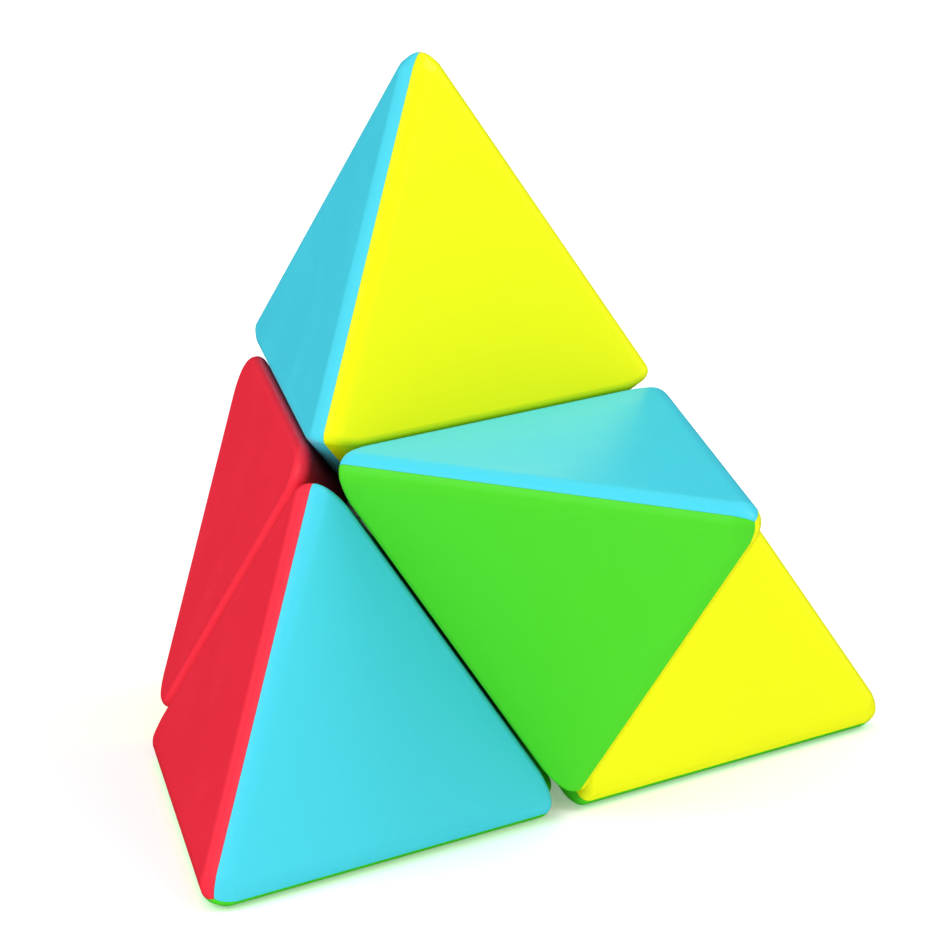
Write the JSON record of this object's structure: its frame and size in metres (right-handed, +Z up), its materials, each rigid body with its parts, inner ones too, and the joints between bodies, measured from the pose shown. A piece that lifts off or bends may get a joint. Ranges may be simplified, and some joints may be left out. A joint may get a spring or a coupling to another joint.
{
  "type": "pyramid twisty puzzle",
  "caption": "Pyramid twisty puzzle in bright satin plastic whose halves turn about slanted axes, shown with a corner piece turned out so that it bulges from the side.",
  "frame": {"origin": "centre of the bottom panel's flat face, on the surface that the puzzle stands on and under its turning centre", "axes": "+Z up through the top corner, -Y out of the side that the corner piece bulges from, +X towards the right corner"},
  "size_m": [0.0838, 0.0719, 0.0692],
  "materials": {
    "yellow_plastic": "satin gloss, moulded in the colour",
    "cyan_plastic": "satin gloss, moulded in the colour",
    "green_plastic": "satin gloss, moulded in the colour",
    "red_plastic": "satin gloss, moulded in the colour",
    "black_plastic": "fine matt, slightly greased",
    "screw_steel": "plain plated steel",
    "spring_steel": "drawn wire"
  },
  "bodies": {
    "base_part": {"core": "black_plastic", "screw_x_plus": "screw_steel", "spring_x_plus": "spring_steel", "screw_x_minus": "screw_steel", "spring_x_minus": "spring_steel", "screw_y_plus": "screw_steel", "spring_y_plus": "spring_steel", "screw_y_minus": "screw_steel", "spring_y_minus": "spring_steel", "screw_z_plus": "screw_steel", "spring_z_plus": "spring_steel", "screw_z_minus": "screw_steel", "spring_z_minus": "spring_steel", "centre_cap_x_minus": "black_plastic", "centre_cap_y_minus": "black_plastic", "centre_cap_z_minus": "black_plastic", "hidden_edge_x_minus_y_minus": "black_plastic", "hidden_edge_y_minus_z_minus": "black_plastic", "hidden_edge_x_minus_z_minus": "black_plastic", "bottom_panel": "green_plastic", "bottom_panel_foot": "black_plastic"},
    "right_part": {"centre_cap_x_plus": "black_plastic", "hidden_edge_x_plus_y_minus": "black_plastic", "hidden_edge_x_plus_z_minus": "black_plastic", "right_corner_green_side": "green_plastic", "right_corner_red_side": "red_plastic", "right_corner_yellow_side": "yellow_plastic", "right_corner_foot": "black_plastic"},
    "rear_part": {"centre_cap_y_plus": "black_plastic", "hidden_edge_x_minus_y_plus": "black_plastic", "hidden_edge_y_plus_z_minus": "black_plastic", "rear_panel": "yellow_plastic", "rear_panel_foot": "black_plastic"},
    "left_part": {"centre_cap_z_plus": "black_plastic", "hidden_edge_y_minus_z_plus": "black_plastic", "hidden_edge_x_minus_z_plus": "black_plastic", "left_corner_cyan_side": "cyan_plastic", "left_corner_red_side": "red_plastic", "left_corner_green_side": "green_plastic", "left_corner_foot": "black_plastic"},
    "back_part": {"hidden_edge_x_plus_y_plus": "black_plastic", "back_panel": "cyan_plastic", "back_panel_foot": "black_plastic"},
    "left_panel_part": {"hidden_edge_y_plus_z_plus": "black_plastic", "left_panel": "red_plastic", "left_panel_foot": "black_plastic"},
    "bulging_part": {"hidden_edge_x_plus_z_plus": "black_plastic", "bulging_corner_green_side": "green_plastic", "bulging_corner_cyan_side": "cyan_plastic", "bulging_corner_yellow_side": "yellow_plastic", "bulging_corner_foot": "black_plastic"},
    "top_part": {"top_corner_cyan_side": "cyan_plastic", "top_corner_yellow_side": "yellow_plastic", "top_corner_red_side": "red_plastic", "top_corner_foot": "black_plastic"}
  },
  "joints": [
    {"name": "right_half_turn", "type": "hinge", "parent": "base_part", "child": "right_part", "pos_m": [0, 0, 0.01837], "axis": [0.7071, -0.4082, 0.5774], "continuous": true},
    {"name": "rear_half_turn", "type": "hinge", "parent": "base_part", "child": "rear_part", "pos_m": [0, 0, 0.01837], "axis": [0, 0.8165, 0.5774], "range_deg": [-360, 360]},
    {"name": "left_half_turn", "type": "hinge", "parent": "base_part", "child": "left_part", "pos_m": [0, 0, 0.01837], "axis": [-0.7071, -0.4082, 0.5774], "range_deg": [-360, 360]},
    {"name": "back_part_turn", "type": "hinge", "parent": "right_part", "child": "back_part", "pos_m": [0, 0, 0.01837], "axis": [0, 0.8165, 0.5774], "range_deg": [-360, 360]},
    {"name": "left_panel_part_turn", "type": "hinge", "parent": "rear_part", "child": "left_panel_part", "pos_m": [0, 0, 0.01837], "axis": [-0.7071, -0.4082, 0.5774], "range_deg": [-360, 360]},
    {"name": "bulging_part_turn", "type": "hinge", "parent": "left_part", "child": "bulging_part", "pos_m": [0, 0, 0.01837], "axis": [0.7071, -0.4082, 0.5774], "continuous": true},
    {"name": "top_part_turn", "type": "hinge", "parent": "back_part", "child": "top_part", "pos_m": [0, 0, 0.01837], "axis": [-0.7071, -0.4082, 0.5774], "range_deg": [-360, 360]}
  ],
  "couplings": [
    {"joint": "back_part_turn", "follows": "rear_half_turn", "ratio": 1},
    {"joint": "left_panel_part_turn", "follows": "left_half_turn", "ratio": 1},
    {"joint": "bulging_part_turn", "follows": "right_half_turn", "ratio": 1},
    {"joint": "top_part_turn", "follows": "left_half_turn", "ratio": 1}
  ]
}
